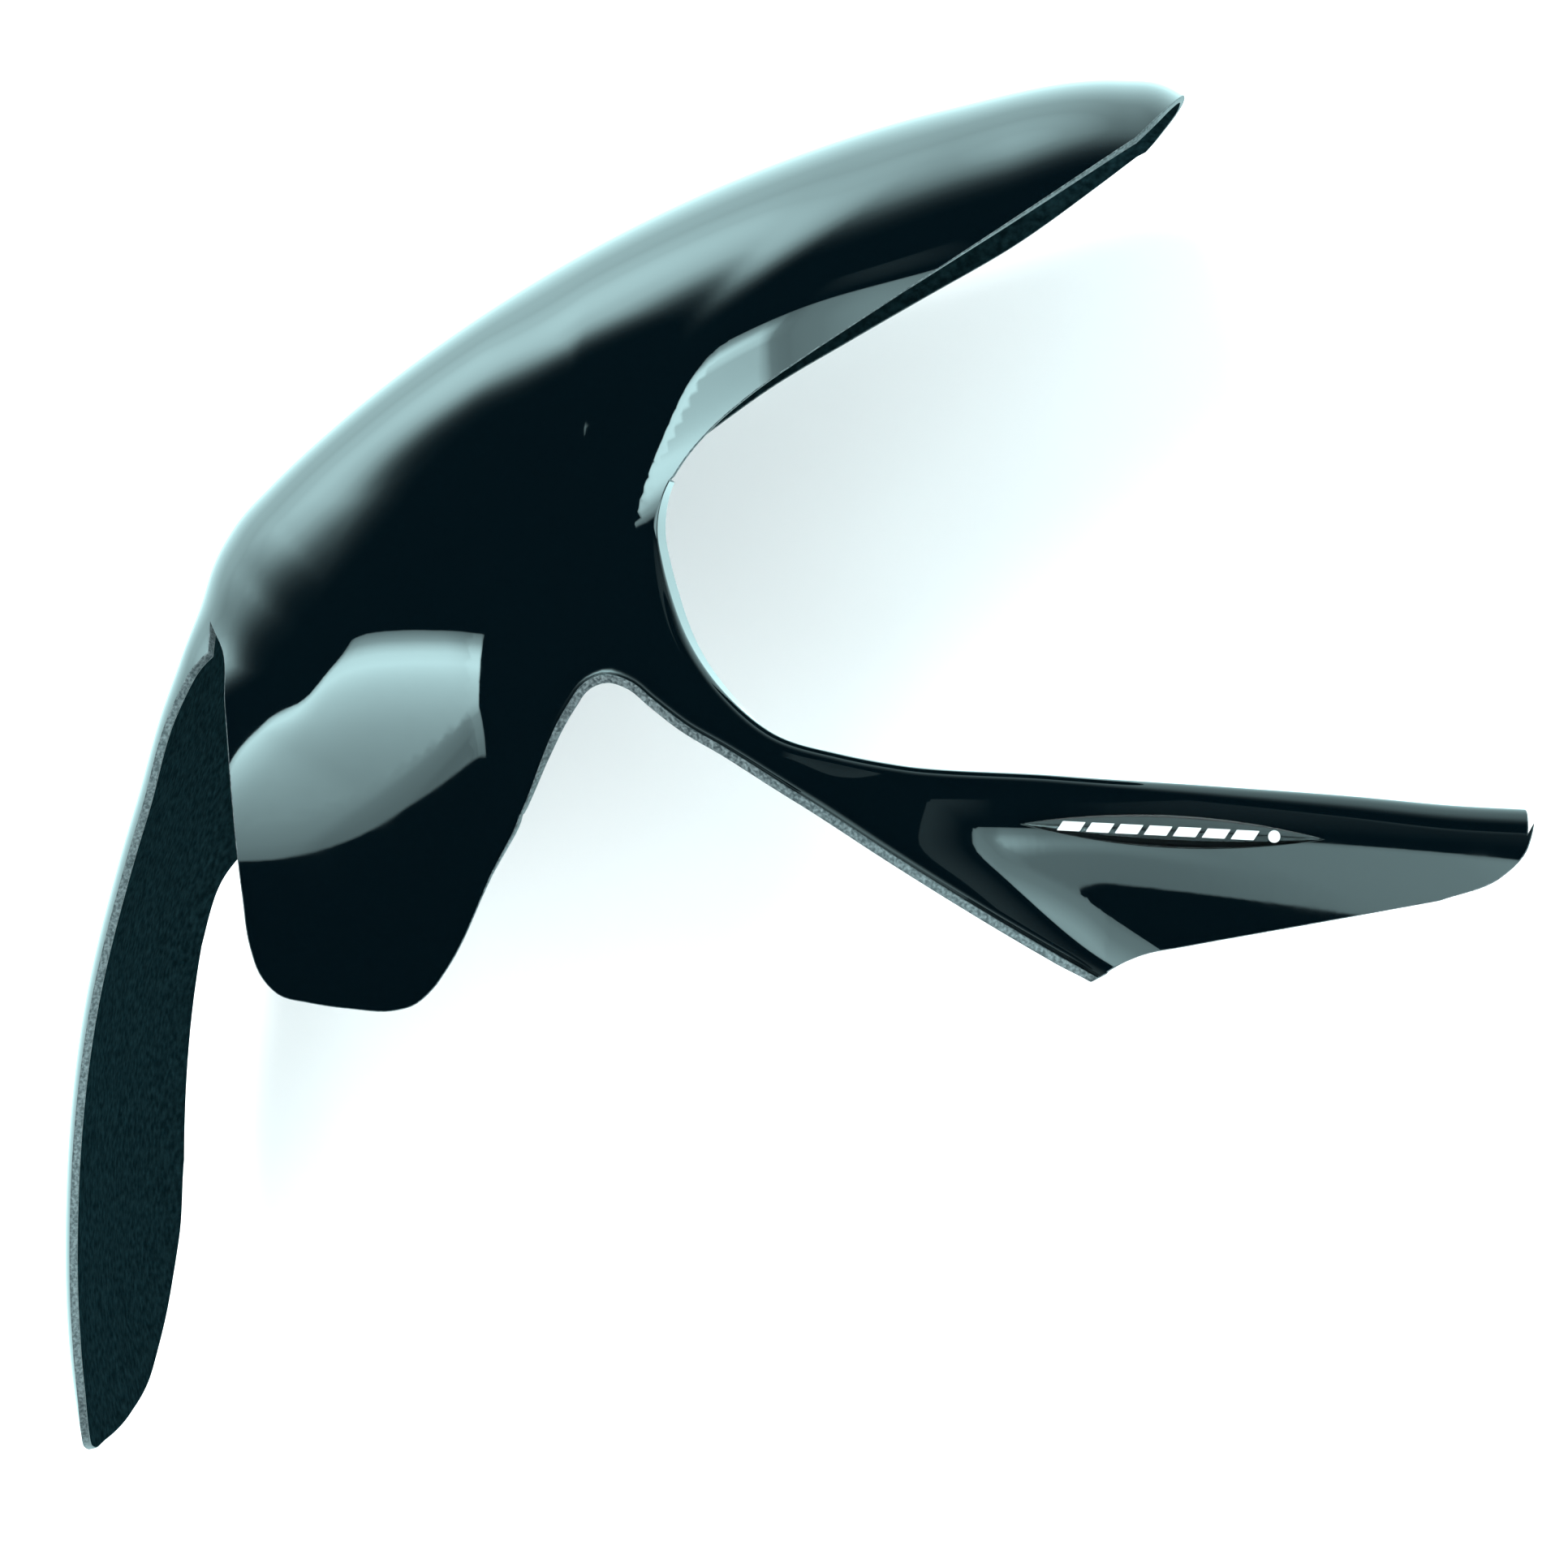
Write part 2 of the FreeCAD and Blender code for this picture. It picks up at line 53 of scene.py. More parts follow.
# The side is drawn in above the tab, from a foot line up, as far back as a slanted line.
WAIST = 9.5                  # at most this deep
WAIST_FOOT = 189.0           # height of the foot line
WAIST_FRONT_X = -248.0       # ahead of this the foot line drops away
WAIST_FRONT_DROP = 0.62
WAIST_REAR_X = -206.0        # and behind this too, as far as ...
WAIST_REAR_DROP = 30.0
WAIST_END_X = -216.0         # where the slanted line crosses WAIST_END_Z
WAIST_END_Z = 212.0
WAIST_END_SLANT = 0.395
WAIST_END_FOOT = 203.0       # below this the line turns towards the front
WAIST_FADE = 44.0            # width over which the drawn-in side comes out again
WAIST_EASE = 0.75            # and this share of it comes out towards the crown,
WAIST_EASE_FROM = 225.0      # above this height ...
WAIST_EASE_OVER = 55.0       # ... over this much
WAIST_LIFT = 2.0             # the lean starts this far below the foot line
WAIST_FRONT_ANGLE = 157.0    # ahead of this angle about the axle the side isn't drawn in
WAIST_FRONT_FADE = 7.0
WAIST_CROWN_FADE = 1.5       # the fade grows by this per mm, within WAIST_CROWN_GAP of the crown
WAIST_CROWN_GAP = 46.0
WAIST_POWER = 6              # how sharply the depth meets its limit
WAIST_CORNER = 10.0          # roundings where the lines above turn
WAIST_REAR_CORNER = 8.0
WAIST_END_CORNER = 12.0

SHOULDER = 6.0               # the arch's rim stands out past the tab
SHOULDER_FRONT = -214.0      # it starts here, along X
SHOULDER_RISE = 32.0
SHOULDER_REAR = -130.0       # and fades out behind this
SHOULDER_FALL = 70.0

WEB_TOP = 276.0              # distance from the axle where the wall leans out to the guard
WEB_FRONT = -215.0           # the web starts here, along X
WEB_WIDTH = 50.0
WEB_CORNER = 8.0
WEB_POWER = 4
GUARD_OFFSET = 24.0          # chain guard outboard of the arch's wall

TUCK_LEAN = 0.123            # the tab's foot turns in under it
TUCK_TOP = 130.5             # height where it starts to, at TUCK_X
TUCK_X = -285.0
TUCK_BOW = 150.0             # and how that line climbs towards the notch
TUCK_FRONT = -296.0          # the tongue, ahead of this, isn't tucked in
TUCK_FRONT_WIDTH = 9.0
TUCK_REAR_ANGLE = 134.0      # nor is the web, behind this angle about the axle
TUCK_REAR_WIDTH = 5.0
TUCK_CORNER = 15.0

GUARD_MIDDLE = 134.2         # the guard's face falls away above and below its middle
GUARD_BOW = 70.0             # radius of its upper part
GUARD_BOW_GROWTH = 0.62      # per mm along X, behind ...
GUARD_BOW_FROM = -30.0
GUARD_SLOPE = 0.035          # its middle sinks towards the rear
GUARD_BOW_SINK = 0.173       # and with the bow's radius
GUARD_REACH = 210.0          # the wall is the guard inside this distance from the axle
GUARD_REACH_WIDTH = 40.0
GUARD_TOP_FROM = -125.0      # the bow starts here, along X
GUARD_FOOT_FROM = -75.0      # and the foot's lean here
GUARD_START_WIDTH = 45.0
GUARD_FOOT_LIFT = 4.0
GUARD_FOOT_LEAN = 0.125
GUARD_TOP_CORNER = 5.0
GUARD_FOOT_CORNER = 12.0
GUARD_TIP = (-35.5, 90.5)
GUARD_EDGE_WAY = (0.52, 0.854)     # across its lower front edge
CURL_WIDTH = 20.0            # its face curls out this close to that edge
CURL_RADIUS = 38.0
CURL_END = 30.0              # the curl grows over no more than this
CURL_FRONT = -150.0
CURL_FRONT_WIDTH = 40.0
CURL_REAR = 20.0
CURL_REAR_WIDTH = 30.0

TONGUE_HALF = 85.0
TONGUE_LEFT_ANGLES = (148.6, 183.0)     # the tongue's straight edges, about the axle
TONGUE_RIGHT_ANGLES = (179.6, 168.3)
TONGUE_ANGLE_STEP = 0.35

# The web's and guard's top edge is rolled in, with a flange behind the roll.
ROLL_THIN = 0.4              # radius where the roll starts, on the web
ROLL_RADIUS = 4.0            # and once the roll has run for ROLL_RISE
ROLL_RISE = 45.0
ROLL_GROWTH = 4.5            # the roll is this much larger at the guard's rear end
ROLL_GROWTH_FROM = -60.0
ROLL_GROWTH_OVER = 140.0
ROLL_STEPS = 10
FLANGE_LIMIT = 95.0          # the flange's edge stays this far out, where its least depth allows
FLANGE_DEPTH = 16.0          # roll and flange together, at most and at least
FLANGE_LEAST = 2.6
FLANGE_FLAT = 0.2            # the flat part behind the roll, at least
FLANGE_STEPS = 4

# The edge from the guard's tip round the notch is turned out.
LIP_RADIUS = 3.2
LIP_TURN = radians(75)
LIP_THIN = 0.02              # share of the turn at the tab's end
LIP_RISE = 45.0
LIP_STEPS = 8
TIP_LENGTH = 12.0            # near the tip the lip leaves the skin along TIP_WAY
TIP_WAY = (1.6, 0.8)

MESH_STEP = 3.0
MESH_CLEAR = 0.55            # inner points keep this share of a step from the outline
EDGE_STEP = 2.0
EDGE_ROUND = 0.35
TAIL_POINTS = 60
OUTSIDE, INSIDE, CUT = range(3)     # which material a face of the sheet has

BADGE_LENGTH = 86.0
BADGE_HEIGHT = 9.4
BADGE_X, BADGE_Z = -11.5, 132.8
BADGE_TILT = 2.6             # degrees, lower towards the rear
DOME_BASE = 1.15             # the plate's face, out from the guard's
DOME_HEIGHT = 1.8
DOME_REACH = 0.97            # share of the plate's length
BAR_COUNT = 7

CROWN_LINE = [
    (50, CROWN - 12), (86, CROWN - 20), (90.5, CROWN - 9), (92.5, CROWN - 2), (94.5, CROWN),
    (103, CROWN), (113, CROWN + 0.5), (122, CROWN + 3), (130, CROWN + 7), (137, CROWN + 12),
    (141.5, CROWN + 15.5), (144, CROWN + 17), (146, CROWN + 15.5), (148, CROWN + 11),
    (150.5, CROWN + 5.9), (153, CROWN + 2.5), (156, CROWN - 0.6), (160, CROWN - 2.7),
    (167, CROWN - 4.2), (178, CROWN - 5.4), (186, CROWN - 4.6), (194, CROWN - 4.4),
]

# Depth of a section's rounded part, and the exponent of its superellipse, by angle.
SECTION_DEPTH = [
    (50, 50), (88, 50), (97, 56), (105, 54), (113, 51), (117, 52), (121, 54), (128, 55), (131, 57),
    (136, 59), (140, 58), (142, 58), (145, 60), (148, 56), (150, 50), (152, 46), (157, 45), (194, 45),
]
SQUARENESS = [
    (50, 3), (88, 3), (95, 2.9), (101, 2.5), (107, 2.25), (113, 2.2), (125, 2.25), (131, 2.3),
    (142, 2.35), (145, 2.4), (148, 2.8), (150, 3.6), (152, 4), (157, 4), (194, 4),
]

# Outlines in the side view, as (x, z), and of the tongue in the front view, as (y, z).
TAIL_TIP = (-7.5, 345)
LEFT_RIM = [(-23, 329.5), (-46, 314), (-80, 291.5), (-115, 268.5)]
WEB_AND_GUARD_TOP = [
    (-115, 268.5), (-133, 256), (-144, 246.5), (-152.5, 236.5), (-157.5, 227.5), (-159.3, 217),
    (-158.1, 209), (-156.1, 201), (-150.7, 187), (-141.9, 174.2), (-126.3, 161.5), (-106, 155.2),
    (-95, 152.9), (-44, 149.2), (1, 146.6), (40, 144), (70, 141.4), (89, 140.5),
]
ROLL_FROM = (-157.5, 231)
GUARD_REAR = [(90.6, 135.5), (88, 127.5), (81, 120.5), (64, 114)]
GUARD_HEEL = [(64, 114), (28, 107), (-8, 100), (-20, 97.5), (-27, 94.5), (-32, 91.4)]
LIP_LINE = [
    (-35.5, 89.6), (-50.4, 98.2), (-73.8, 112.1), (-96, 126), (-117.5, 139.9), (-139, 153.5),
    (-151.5, 160.5), (-161, 167.5), (-166.5, 171.8), (-172.5, 173.5), (-178, 171.5), (-182.5, 166),
    (-191.5, 151.5), (-200, 134.5),
]
TAB_EDGE = [
    (-209, 117), (-223, 88), (-227.3, 82), (-233, 77.2), (-239, 75.6), (-251, 76.2), (-263.5, 78),
    (-272, 80.2), (-277.3, 86), (-280, 94), (-282, 110), (-284.5, 138), (-287, 165), (-290, 181),
    (-296.5, 188.5),
]
TONGUE_FOOT = [
    (-85, -28), (-83, -46), (-76, -58), (-62, -64), (-40, -66.5), (0, -67), (40, -61), (68, -45),
    (81, -25), (85, 0),
]
TONGUE_TO_RIM = [(85, 72), (88, 93), (95, 106)]
RIGHT_RIM = [
    (-303, 122), (-275, 148), (-240, 178), (-200, 211), (-160, 242.5), (-141, 256), (-114, 272),
    (-88, 287), (-61, 303), (-35, 322), (-22, 332),
]


def smooth_step(t):
    t = min(1.0, max(0.0, t))
    return t * t * (3 - 2 * t)


def blend(a, b, t):
    return a + (b - a) * smooth_step(t)


def smooth_line(points):
    """A smooth curve through (x, value) points, as a function of x."""
    xs = [p[0] for p in points]
    ys = [p[1] for p in points]
    steps = [(ys[i + 1] - ys[i]) / (xs[i + 1] - xs[i]) for i in range(len(xs) - 1)]
    slopes = [steps[0]]
    for i in range(1, len(steps)):
        left, right = xs[i] - xs[i - 1], xs[i + 1] - xs[i]
        slopes.append((steps[i - 1] * right + steps[i] * left) / (left + right))
    slopes.append(steps[-1])

    def value(x):
        i = max(0, min(len(xs) - 2, sum(1 for k in xs[1:] if k <= x)))
        width = xs[i + 1] - xs[i]
        t = (x - xs[i]) / width
        a = (2 * t ** 3 - 3 * t * t + 1) * ys[i] + (t ** 3 - 2 * t * t + t) * width * slopes[i]
        b = (3 * t * t - 2 * t ** 3) * ys[i + 1] + (t ** 3 - t * t) * width * slopes[i + 1]
        return a + b

    return value


def smooth_path(points, step):
    """Evenly spaced points along a smooth curve through 2-D points."""
    lengths = [0.0]
    for a, b in zip(points, points[1:]):
        lengths.append(lengths[-1] + hypot(b[0] - a[0], b[1] - a[1]))
    x_of = smooth_line([(s, p[0]) for s, p in zip(lengths, points)])
    y_of = smooth_line([(s, p[1]) for s, p in zip(lengths, points)])
    count = max(1, ceil(lengths[-1] / step))
    return [(x_of(lengths[-1] * i / count), y_of(lengths[-1] * i / count)) for i in range(count + 1)]


crown_radius = smooth_line(CROWN_LINE)
section_depth = smooth_line(SECTION_DEPTH)
squareness = smooth_line(SQUARENESS)


def ramp(x, rounding):
    """x where it is positive and nothing elsewhere, with a rounded corner."""
    return (x + hypot(x, rounding)) / 2


def soft_limit(x, most, power):
    return x / (1 + (x / most) ** power) ** (1 / power)


def waist(angle, radius, x, z):
    """How far the side is drawn in under the crown, above the tab."""
    foot = WAIST_FOOT - WAIST_FRONT_DROP * ramp(WAIST_FRONT_X - x, WAIST_CORNER)
    foot -= min(WAIST_REAR_DROP, ramp(x - WAIST_REAR_X, WAIST_REAR_CORNER))
    past_end = x - WAIST_END_X - WAIST_END_SLANT * (z - WAIST_END_Z)
    past_end -= ramp(WAIST_END_FOOT - z, WAIST_END_CORNER)
    near_crown = ramp(radius - crown_radius(angle) + WAIST_CROWN_GAP, WAIST_END_CORNER)
    fade = WAIST_FADE + WAIST_CROWN_FADE * near_crown
    behind_front = smooth_step((WAIST_FRONT_ANGLE - angle) / WAIST_FRONT_FADE)
    depth = WALL_LEAN * ramp(z + WAIST_LIFT - foot, WAIST_CORNER)
    depth *= (1 - smooth_step(past_end / fade)) * behind_front
    eased = 1 - WAIST_EASE * smooth_step((z - WAIST_EASE_FROM) / WAIST_EASE_OVER)
    return soft_limit(depth, WAIST, WAIST_POWER) * eased


def tab_tuck(angle, x, z):
    """The tab's foot, below a curved line that climbs towards the notch."""
    below = max(0.0, TUCK_TOP + (x - TUCK_X) ** 2 / TUCK_BOW - z)
    on_tab = smooth_step((angle - TUCK_REAR_ANGLE) / TUCK_REAR_WIDTH)
    on_tab *= smooth_step((x - TUCK_FRONT) / TUCK_FRONT_WIDTH)
    return on_tab * TUCK_LEAN * (hypot(below, TUCK_CORNER) - TUCK_CORNER)


def guard_barrel(radius, x, z):
    """The guard's face falls away above and below its middle."""
    bow = GUARD_BOW + GUARD_BOW_GROWTH * max(GUARD_BOW_FROM, x)
    middle = GUARD_MIDDLE - GUARD_SLOPE * x - GUARD_BOW_SINK * bow
    on_guard = smooth_step((GUARD_REACH - radius) / GUARD_REACH_WIDTH)
    top = smooth_step((x - GUARD_TOP_FROM) / GUARD_START_WIDTH)
    top = top * ramp(z - middle, GUARD_TOP_CORNER) ** 2 / (2 * bow)
    below = max(0.0, middle + GUARD_FOOT_LIFT - z)
    foot = smooth_step((x - GUARD_FOOT_FROM) / GUARD_START_WIDTH) * GUARD_FOOT_LEAN
    foot *= hypot(below, GUARD_FOOT_CORNER) - GUARD_FOOT_CORNER
    return on_guard * (top + foot)


def guard_curl(x, z):
    """The guard's face curls out towards its lower front edge."""
    edge_gap = (x - GUARD_TIP[0]) * GUARD_EDGE_WAY[0] + (z - GUARD_TIP[1]) * GUARD_EDGE_WAY[1]
    into = min(CURL_END, max(0.0, CURL_WIDTH - edge_gap))
    curl = into ** 2 / (2 * CURL_RADIUS) * smooth_step((x - CURL_FRONT) / CURL_FRONT_WIDTH)
    return curl * smooth_step((CURL_REAR - x) / CURL_REAR_WIDTH)


def stand_out(angle, radius):
    """How far the left wall stands out past the half width."""
    x, z = radius * cos(radians(angle)), radius * sin(radians(angle))
    shoulder = SHOULDER * smooth_step((x - SHOULDER_FRONT) / SHOULDER_RISE)
    shoulder *= 1 - smooth_step((x - SHOULDER_REAR) / SHOULDER_FALL)
    lean = WALL_LEAN * ramp(WEB_TOP - radius, WEB_CORNER) * smooth_step((x - WEB_FRONT) / WEB_WIDTH)
    out = shoulder + soft_limit(lean, GUARD_OFFSET, WEB_POWER) + guard_curl(x, z)
    return out - waist(angle, radius, x, z) - tab_tuck(angle, x, z) - guard_barrel(radius, x, z)


def section_reach(turn, power):
    """Distance from the middle of a unit superellipse to its line, in this direction."""
    return (abs(sin(turn)) ** power + abs(cos(turn)) ** power) ** (-1 / power)


def skin_radius(angle, side):
    """Distance of the skin from the axle."""
    power = squareness(angle)
    turn = max(-1.0, min(1.0, side)) * pi / 2
    wall = max(0.0, abs(side) - 1) * SIDE_MM
    drop = section_depth(angle) * (1 - section_reach(turn, power) * cos(turn))
    return crown_radius(angle) - drop - wall


def skin_point(angle, side):
    """Outer skin. side runs -1..1 over the rounded section, and on down the walls."""
    power = squareness(angle)
    turn = max(-1.0, min(1.0, side)) * pi / 2
    radius = skin_radius(angle, side)
    width = section_reach(turn, power) * sin(turn)
    y = HALF_WIDTH * width
    if side < 0:
        y += stand_out(angle, radius) * width
    return Vector((radius * cos(radians(angle)), y, radius * sin(radians(angle))))


def skin_normal(angle, side):
    e = 1e-3
    along = skin_point(angle + e, side) - skin_point(angle - e, side)
    across = skin_point(angle, side + e) - skin_point(angle, side - e)
    return across.cross(along).normalized()


# ---------------------------------------------------------------- from views to the skin
def bisect(function, low, high):
    """Where a rising function passes through zero."""
    for _ in range(40):
        middle = (low + high) / 2
        if function(middle) > 0:
            high = middle
        else:
            low = middle
    return (low + high) / 2


def from_side_view(x, z, sign):
    """(angle, side) of the skin's point seen at x, z: sign -1 on the left wall, 1 on the right."""
    angle = degrees(atan2(z, x))
    radius = hypot(x, z)
    depth = section_depth(angle)
    drop = crown_radius(angle) - radius
    if drop >= depth:
        return angle, sign * (1 + (drop - depth) / SIDE_MM)
    side = bisect(lambda s: radius - skin_radius(angle, s), 0.0, 1.0)
    return angle, sign * side


def side_at_width(angle, y):
    """side of the rounded section's point at y, before the left wall's own shape is added."""
    power = squareness(angle)
    sign = 1 if y > 0 else -1
    share = min(0.9999, abs(y) / HALF_WIDTH)
    side = bisect(lambda s: section_reach(s * pi / 2, power) * sin(s * pi / 2) - share, 0.0, 1.0)
    return sign * side


def from_front_view(y, z):
    """(angle, side) of the tongue's point seen at y, z."""
    angle = 180 - degrees(asin(z / CROWN))
    for _ in range(12):
        side = side_at_width(angle, y)
        angle = 180 - degrees(asin(z / skin_radius(angle, side)))
    return angle, side


def tail_edge():
    """The tail's cut edge, over the crown from the left rim to the right rim."""
    run = (LEFT_RIM[0][0] - TAIL_TIP[0], LEFT_RIM[0][1] - TAIL_TIP[1])

    def behind(angle, side):
        point = skin_point(angle, side)
        return (point.x - TAIL_TIP[0]) * run[1] - (point.z - TAIL_TIP[1]) * run[0]

    points = []
    last_left = from_side_view(*LEFT_RIM[0], -1)[1]
    last_right = from_side_view(*RIGHT_RIM[-1], 1)[1]
    for i in range(1, TAIL_POINTS):
        side = last_right + (last_left - last_right) * i / TAIL_POINTS
        angle = bisect(lambda a: behind(a, side), 90.0, 99.0)
        points.append((angle, side))
    return points


# ---------------------------------------------------------------- the flat pattern and its mesh
PATTERN_RADIUS = 320.0
ANGLE_MM = radians(1) * PATTERN_RADIUS     # one degree about the axle
SECTION_MM = 130.0           # half of the rounded section


def to_pattern(angle, side):
    """Place of a skin point on the flat pattern, in about its true size."""
    if abs(side) <= 1:
        return angle * ANGLE_MM, side * SECTION_MM
    sign = 1 if side > 0 else -1
    return angle * ANGLE_MM, sign * (SECTION_MM + (abs(side) - 1) * SIDE_MM)


def from_pattern(u, v):
    if abs(v) <= SECTION_MM:
        return u / ANGLE_MM, v / SECTION_MM
    sign = 1 if v > 0 else -1
    return u / ANGLE_MM, sign * (1 + (abs(v) - SECTION_MM) / SIDE_MM)


class Skin:
    """Outer skin as points, their normals and faces, grown piece by piece."""

    def __init__(self):
        self.points = []
        self.normals = []
        self.faces = []

    def add(self, point, normal):
        self.points.append(point)
        self.normals.append(normal)
        return len(self.points) - 1


def inside_polygon(points, outline):
    """Which of the points lie inside the closed outline."""
    x, y = points[:, 0], points[:, 1]
    inside = np.zeros(len(points), dtype=bool)
    for (x0, y0), (x1, y1) in zip(outline, outline[1:] + outline[:1]):
        if y0 == y1:
            continue
        crosses = (y0 > y) != (y1 > y)
        inside ^= crosses & (x < (x1 - x0) * (y - y0) / (y1 - y0) + x0)
    return inside


def pattern_triangles(outline):
    """Triangles that fill the outline, with an even grid of points inside it."""
    us = [p[0] for p in outline]
    vs = [p[1] for p in outline]
    grid = []
    row_height = MESH_STEP * sqrt(3) / 2
    for row in range(int((max(vs) - min(vs)) / row_height) + 1):
        shift = MESH_STEP / 2 * (row % 2)
        for column in range(int((max(us) - min(us)) / MESH_STEP) + 2):
            grid.append((min(us) + shift + column * MESH_STEP, min(vs) + row * row_height))
    grid = np.array(grid)
    grid = grid[inside_polygon(grid, outline)]
    tree = kdtree.KDTree(len(outline))
    for i, (u, v) in enumerate(outline):
        tree.insert((u, v, 0), i)
    tree.balance()
    grid = [p for p in grid if tree.find((p[0], p[1], 0))[2] > MESH_CLEAR * MESH_STEP]
    vertices = [Vector(p) for p in outline] + [Vector((float(u), float(v))) for u, v in grid]
    count = len(outline)
    edges = [(i, (i + 1) % count) for i in range(count)]
    found = geometry.delaunay_2d_cdt(vertices, edges, [], 1, 1e-5)
    return found[0], found[2], found[3]


def inward_normals(path):
    """Side-view unit normals of a path, to its right as it is walked."""
    normals = []
    for i in range(len(path)):
        before, after = path[max(0, i - 1)], path[min(len(path) - 1, i + 1)]
        dx, dz = after[0] - before[0], after[1] - before[1]
        length = hypot(dx, dz)
        normals.append((dz / length, -dx / length))
    return normals


def distance_along(path):
    """How far along the path each of its points lies."""
    total = [0.0]
    for a, b in zip(path, path[1:]):
        total.append(total[-1] + hypot(b[0] - a[0], b[1] - a[1]))
    return total


def roll_stations():
    """The rim ahead of the roll, and of the roll: outline points, where each leaves the skin, radii."""
    path = smooth_path(WEB_AND_GUARD_TOP, EDGE_STEP)
    gaps = [hypot(x - ROLL_FROM[0], z - ROLL_FROM[1]) for x, z in path]
    first = gaps.index(min(gaps))
    rim, path = path[:first], path[first:]
    stations = []
    for (x, z), (nx, nz), d in zip(path, inward_normals(path), distance_along(path)):
        growth = ROLL_GROWTH * smooth_step((x - ROLL_GROWTH_FROM) / ROLL_GROWTH_OVER)
        radius = blend(ROLL_THIN, ROLL_RADIUS, d / ROLL_RISE) + growth
        stations.append(((x, z), (x + nx * radius, z + nz * radius), radius))
    return rim, stations


def lip_stations():
    """The same for the turned-out lip, from the guard's tip round the notch, with its turns."""
    path = smooth_path(LIP_LINE, EDGE_STEP)
    length = distance_along(path)[-1]
    stations = []
    for (x, z), (nx, nz), d in zip(path, inward_normals(path), distance_along(path)):
        turn = LIP_TURN * blend(LIP_THIN, 1.0, (length - d) / LIP_RISE)
        near_tip = smooth_step(1 - d / TIP_LENGTH)
        way_x = nx * (1 - near_tip) + TIP_WAY[0] * near_tip
        way_z = nz * (1 - near_tip) + TIP_WAY[1] * near_tip
        scale = (LIP_RADIUS + SHEET) * sin(turn) / (way_x * nx + way_z * nz)
        stations.append(((x, z), (x + way_x * scale, z + way_z * scale), turn))
    return stations


def left_point(x, z):
    return from_side_view(x, z, -1)


def outline_of_skin():
    """The moulding's outline on the skin, as (angle, side), with marks where the strips join."""
    rim, roll = roll_stations()
    lip = lip_stations()
    loop = [left_point(x, z) for x, z in smooth_path(LEFT_RIM, EDGE_STEP)[:-1]]
    loop += [left_point(x, z) for x, z in rim]
    roll_start = len(loop)
    loop += [left_point(*leave) for _, leave, _ in roll]
    roll_end = len(loop)
    loop += [left_point(x, z) for x, z in smooth_path(GUARD_REAR, EDGE_STEP)]
    loop += [left_point(x, z) for x, z in smooth_path(GUARD_HEEL, EDGE_STEP)[1:-1]]
    lip_start = len(loop)
    loop += [left_point(*leave) for _, leave, _ in lip]
    lip_end = len(loop)
    loop += [left_point(x, z) for x, z in smooth_path(TAB_EDGE, EDGE_STEP)]
    left_angles = np.arange(*TONGUE_LEFT_ANGLES, TONGUE_ANGLE_STEP)
    loop += [(a, side_at_width(a, -TONGUE_HALF)) for a in left_angles]
    loop += [from_front_view(y, z) for y, z in smooth_path(TONGUE_FOOT, EDGE_STEP)]
    right_angles = np.arange(*TONGUE_RIGHT_ANGLES, -TONGUE_ANGLE_STEP)
    loop += [(a, side_at_width(a, TONGUE_HALF)) for a in right_angles]
    turn = [from_front_view(y, z) for y, z in TONGUE_TO_RIM]
    rim_right = [from_side_view(x, z, 1) for x, z in smooth_path(RIGHT_RIM, EDGE_STEP)]
    turn_pattern = [to_pattern(*p) for p in turn + rim_right[:1]]
    loop += [from_pattern(u, v) for u, v in smooth_path(turn_pattern, EDGE_STEP)[:-1]]
    loop += rim_right
    loop += tail_edge()
    return loop, (roll_start, roll_end, roll), (lip_start, lip_end, lip)


def add_strip(skin, rows_of, joined):
    """A strip of quads that starts on the skin's points named by joined."""
    rows = [[j] + [skin.add(p, n) for p, n in rows_of(i, j)] for i, j in enumerate(joined)]
    for a, b in zip(rows, rows[1:]):
        for k in range(len(a) - 1):
            skin.faces.append((a[k], a[k + 1], b[k + 1], b[k]))


def bend_direction(leave, outline):
    """On the skin, the step from where a bend leaves it towards the outline point."""
    dx, dz = outline[0] - leave[0], outline[1] - leave[1]
    share = 0.05
    here = skin_point(*left_point(*leave))
    there = skin_point(*left_point(leave[0] + dx * share, leave[1] + dz * share))
    return (there - here) / share


